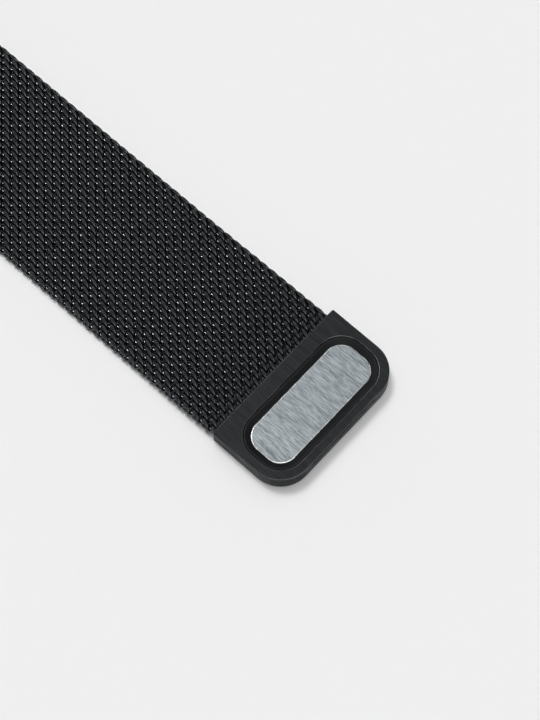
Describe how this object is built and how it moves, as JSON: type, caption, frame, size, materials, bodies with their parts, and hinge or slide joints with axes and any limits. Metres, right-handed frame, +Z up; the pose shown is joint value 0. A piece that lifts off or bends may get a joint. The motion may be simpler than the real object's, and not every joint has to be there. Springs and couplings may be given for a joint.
{
  "type": "woven steel watch band",
  "caption": "Black woven steel mesh watch band with a magnet clasp, a sliding loop and quick-release spring bars, laid out flat with the magnet face up.",
  "frame": {"origin": "on the table, under the middle of the band's length and width", "axes": "+X along the band towards the clasp, +Y across it, +Z up from the table and out of the magnet face"},
  "size_m": [0.2122, 0.0254, 0.0076],
  "materials": {
    "black_steel": "satin black coating, finely brushed along the band",
    "mesh_wire": "black coated wire, rolled flat on both faces",
    "ring_plastic": "semi-matte black",
    "magnet_plate": "bare steel, brushed along the band",
    "magnet": "nickel plated",
    "bare_steel": "turned steel"
  },
  "bodies": {
    "clasp": {"clasp_housing": "black_steel", "clasp_ring": "ring_plastic", "clasp_plate": "magnet_plate", "clasp_magnets": "magnet", "clasp_yoke": "bare_steel", "clasp_mesh_tab": "bare_steel", "mesh_stretch_01": "mesh_wire"},
    "mesh_02": {"mesh_stretch_02": "mesh_wire"},
    "mesh_03": {"mesh_stretch_03": "mesh_wire"},
    "mesh_04": {"mesh_stretch_04": "mesh_wire"},
    "mesh_05": {"mesh_stretch_05": "mesh_wire"},
    "mesh_06": {"mesh_stretch_06": "mesh_wire"},
    "mesh_07": {"mesh_stretch_07": "mesh_wire"},
    "mesh_08": {"mesh_stretch_08": "mesh_wire"},
    "mesh_09": {"mesh_stretch_09": "mesh_wire"},
    "runway": {"mesh_stretch_10": "mesh_wire"},
    "mesh_11": {"mesh_stretch_11": "mesh_wire"},
    "mesh_12": {"mesh_stretch_12": "mesh_wire"},
    "mesh_13": {"mesh_stretch_13": "mesh_wire"},
    "mesh_14": {"mesh_stretch_14": "mesh_wire"},
    "mesh_15": {"mesh_stretch_15": "mesh_wire"},
    "mesh_16": {"mesh_stretch_16": "mesh_wire"},
    "end": {"mesh_stretch_17": "mesh_wire", "end_mesh_tab": "bare_steel", "end_link": "black_steel", "end_bar_tube": "bare_steel", "end_bar_fixed_tip": "bare_steel", "end_bar_coil": "bare_steel"},
    "slider": {"slider_frame": "black_steel", "slider_bar_tube": "bare_steel", "slider_bar_fixed_tip": "bare_steel", "slider_bar_coil": "bare_steel"},
    "end_release": {"end_bar_release_tip": "bare_steel", "end_bar_release_knob": "bare_steel"},
    "slider_release": {"slider_bar_release_tip": "bare_steel", "slider_bar_release_knob": "bare_steel"}
  },
  "joints": [
    {"name": "mesh_bend_01", "type": "hinge", "parent": "clasp", "child": "mesh_02", "pos_m": [0.08805, 0, 0.0011], "axis": [0, 1, 0], "range_deg": [-20, 20]},
    {"name": "mesh_bend_02", "type": "hinge", "parent": "mesh_02", "child": "mesh_03", "pos_m": [0.07702, 0, 0.00065], "axis": [0, 1, 0], "range_deg": [-20, 20]},
    {"name": "mesh_bend_03", "type": "hinge", "parent": "mesh_03", "child": "mesh_04", "pos_m": [0.06599, 0, 0.00065], "axis": [0, 1, 0], "range_deg": [-20, 20]},
    {"name": "mesh_bend_04", "type": "hinge", "parent": "mesh_04", "child": "mesh_05", "pos_m": [0.05496, 0, 0.00065], "axis": [0, 1, 0], "range_deg": [-20, 20]},
    {"name": "mesh_bend_05", "type": "hinge", "parent": "mesh_05", "child": "mesh_06", "pos_m": [0.04393, 0, 0.00065], "axis": [0, 1, 0], "range_deg": [-20, 20]},
    {"name": "mesh_bend_06", "type": "hinge", "parent": "mesh_06", "child": "mesh_07", "pos_m": [0.03289, 0, 0.00065], "axis": [0, 1, 0], "range_deg": [-20, 20]},
    {"name": "mesh_bend_07", "type": "hinge", "parent": "mesh_07", "child": "mesh_08", "pos_m": [0.02186, 0, 0.00065], "axis": [0, 1, 0], "range_deg": [-20, 20]},
    {"name": "mesh_bend_08", "type": "hinge", "parent": "mesh_08", "child": "mesh_09", "pos_m": [0.01108, 0, 0.00297], "axis": [0, 1, 0], "range_deg": [-20, 20]},
    {"name": "mesh_bend_09", "type": "hinge", "parent": "mesh_09", "child": "runway", "pos_m": [0.00029, 0, 0.00528], "axis": [0, 1, 0], "range_deg": [-20, 20]},
    {"name": "mesh_bend_10", "type": "hinge", "parent": "runway", "child": "mesh_11", "pos_m": [-0.02808, 0, 0.00528], "axis": [0, 1, 0], "range_deg": [-20, 20]},
    {"name": "mesh_bend_11", "type": "hinge", "parent": "mesh_11", "child": "mesh_12", "pos_m": [-0.03886, 0, 0.00297], "axis": [0, 1, 0], "range_deg": [-20, 20]},
    {"name": "mesh_bend_12", "type": "hinge", "parent": "mesh_12", "child": "mesh_13", "pos_m": [-0.04965, 0, 0.00065], "axis": [0, 1, 0], "range_deg": [-20, 20]},
    {"name": "mesh_bend_13", "type": "hinge", "parent": "mesh_13", "child": "mesh_14", "pos_m": [-0.06068, 0, 0.00065], "axis": [0, 1, 0], "range_deg": [-20, 20]},
    {"name": "mesh_bend_14", "type": "hinge", "parent": "mesh_14", "child": "mesh_15", "pos_m": [-0.07171, 0, 0.00065], "axis": [0, 1, 0], "range_deg": [-20, 20]},
    {"name": "mesh_bend_15", "type": "hinge", "parent": "mesh_15", "child": "mesh_16", "pos_m": [-0.08275, 0, 0.00065], "axis": [0, 1, 0], "range_deg": [-20, 20]},
    {"name": "mesh_bend_16", "type": "hinge", "parent": "mesh_16", "child": "end", "pos_m": [-0.09375, 0, 0.0015], "axis": [0, 1, 0], "range_deg": [-20, 20]},
    {"name": "slider_run", "type": "slide", "parent": "runway", "child": "slider", "axis": [1, 0, 0], "range_m": [-0.008, 0.008]},
    {"name": "end_bar_release", "type": "slide", "parent": "end", "child": "end_release", "axis": [0, -1, 0], "range_m": [0, 0.0011], "stiffness_N_per_m": 300, "springref_m": -0.0005},
    {"name": "slider_bar_release", "type": "slide", "parent": "slider", "child": "slider_release", "axis": [0, -1, 0], "range_m": [0, 0.0011], "stiffness_N_per_m": 300, "springref_m": -0.0005}
  ]
}
